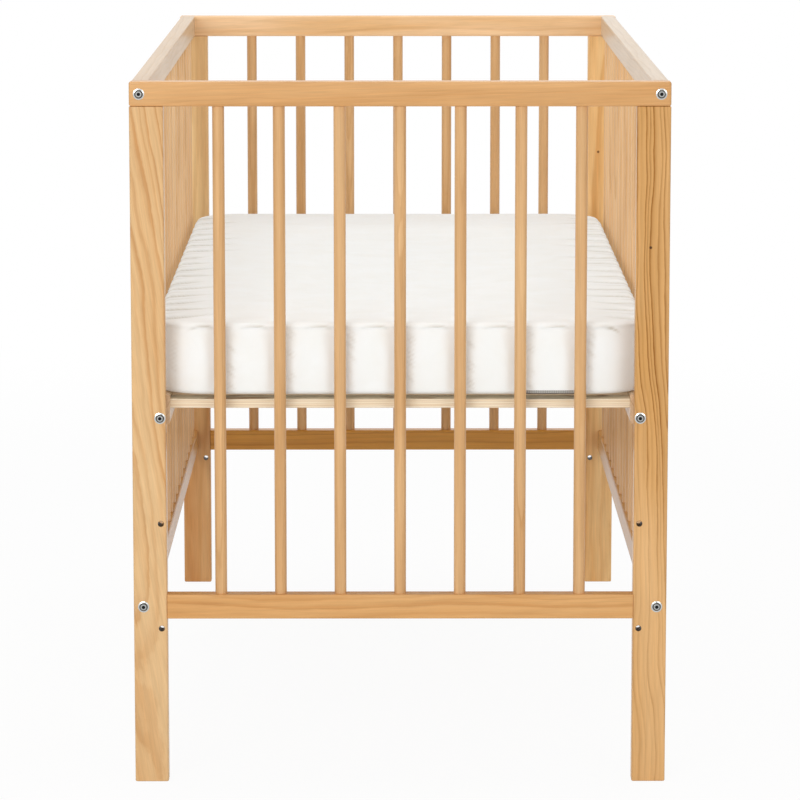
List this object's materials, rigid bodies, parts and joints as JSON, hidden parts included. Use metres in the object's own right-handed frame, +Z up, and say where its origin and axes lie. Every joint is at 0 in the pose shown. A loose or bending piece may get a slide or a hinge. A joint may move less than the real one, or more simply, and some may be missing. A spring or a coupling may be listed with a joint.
{
  "type": "crib",
  "caption": "Child's crib with round bars on all sides, a slatted base bolted at one of several levels, and a loose mattress with a white cover.",
  "frame": {"origin": "middle of the crib's footprint, on the floor that it stands on", "axes": "+X across the crib to the right, seen from the pictured end; +Y along the crib from that end to the far end; +Z up"},
  "size_m": [0.65, 1.2566, 0.86],
  "materials": {
    "lacquered_pine": "satin",
    "birch_plywood": "matte",
    "beech": "matte",
    "zinc_plated_steel": "satin",
    "mattress_cover": "matte"
  },
  "bodies": {
    "frame": {"front_top_rail": "lacquered_pine", "front_bottom_rail": "lacquered_pine", "front_left_leg": "lacquered_pine", "front_right_leg": "lacquered_pine", "front_bar_1": "lacquered_pine", "front_bar_2": "lacquered_pine", "front_bar_3": "lacquered_pine", "front_bar_4": "lacquered_pine", "front_bar_5": "lacquered_pine", "front_bar_6": "lacquered_pine", "front_bar_7": "lacquered_pine", "back_top_rail": "lacquered_pine", "back_bottom_rail": "lacquered_pine", "back_left_leg": "lacquered_pine", "back_right_leg": "lacquered_pine", "back_bar_1": "lacquered_pine", "back_bar_2": "lacquered_pine", "back_bar_3": "lacquered_pine", "back_bar_4": "lacquered_pine", "back_bar_5": "lacquered_pine", "back_bar_6": "lacquered_pine", "back_bar_7": "lacquered_pine", "left_side_top_rail": "lacquered_pine", "left_side_bottom_rail": "lacquered_pine", "left_side_bars": "lacquered_pine", "right_side_top_rail": "lacquered_pine", "right_side_bottom_rail": "lacquered_pine", "right_side_bars": "lacquered_pine", "corner_pins": "beech", "side_panel_bolts": "zinc_plated_steel", "side_panel_barrel_nuts": "zinc_plated_steel"},
    "base": {"left_base_rail": "lacquered_pine", "right_base_rail": "lacquered_pine", "slat_01": "birch_plywood", "slat_02": "birch_plywood", "slat_03": "birch_plywood", "slat_04": "birch_plywood", "slat_05": "birch_plywood", "slat_06": "birch_plywood", "slat_07": "birch_plywood", "slat_08": "birch_plywood", "slat_09": "birch_plywood", "slat_10": "birch_plywood", "slat_11": "birch_plywood", "slat_12": "birch_plywood", "slat_13": "birch_plywood", "slat_14": "birch_plywood", "slat_15": "birch_plywood", "slat_16": "birch_plywood", "slat_17": "birch_plywood", "slat_18": "birch_plywood", "slat_19": "birch_plywood", "slat_20": "birch_plywood", "slat_21": "birch_plywood", "slat_22": "birch_plywood", "base_barrel_nuts": "zinc_plated_steel"},
    "mattress": {"mattress": "mattress_cover"},
    "front_base_bolts": {"front_base_bolts": "zinc_plated_steel"},
    "back_base_bolts": {"back_base_bolts": "zinc_plated_steel"}
  },
  "joints": [
    {"name": "base_height", "type": "slide", "parent": "frame", "child": "base", "axis": [0, 0, 1], "range_m": [-0.26, 0]},
    {"name": "mattress_lift", "type": "slide", "parent": "base", "child": "mattress", "axis": [0, 0, 1], "range_m": [0, 0.42]},
    {"name": "front_base_bolts_pull", "type": "slide", "parent": "frame", "child": "front_base_bolts", "axis": [0, -1, 0], "range_m": [0, 0.05]},
    {"name": "back_base_bolts_pull", "type": "slide", "parent": "frame", "child": "back_base_bolts", "axis": [0, 1, 0], "range_m": [0, 0.05]}
  ]
}
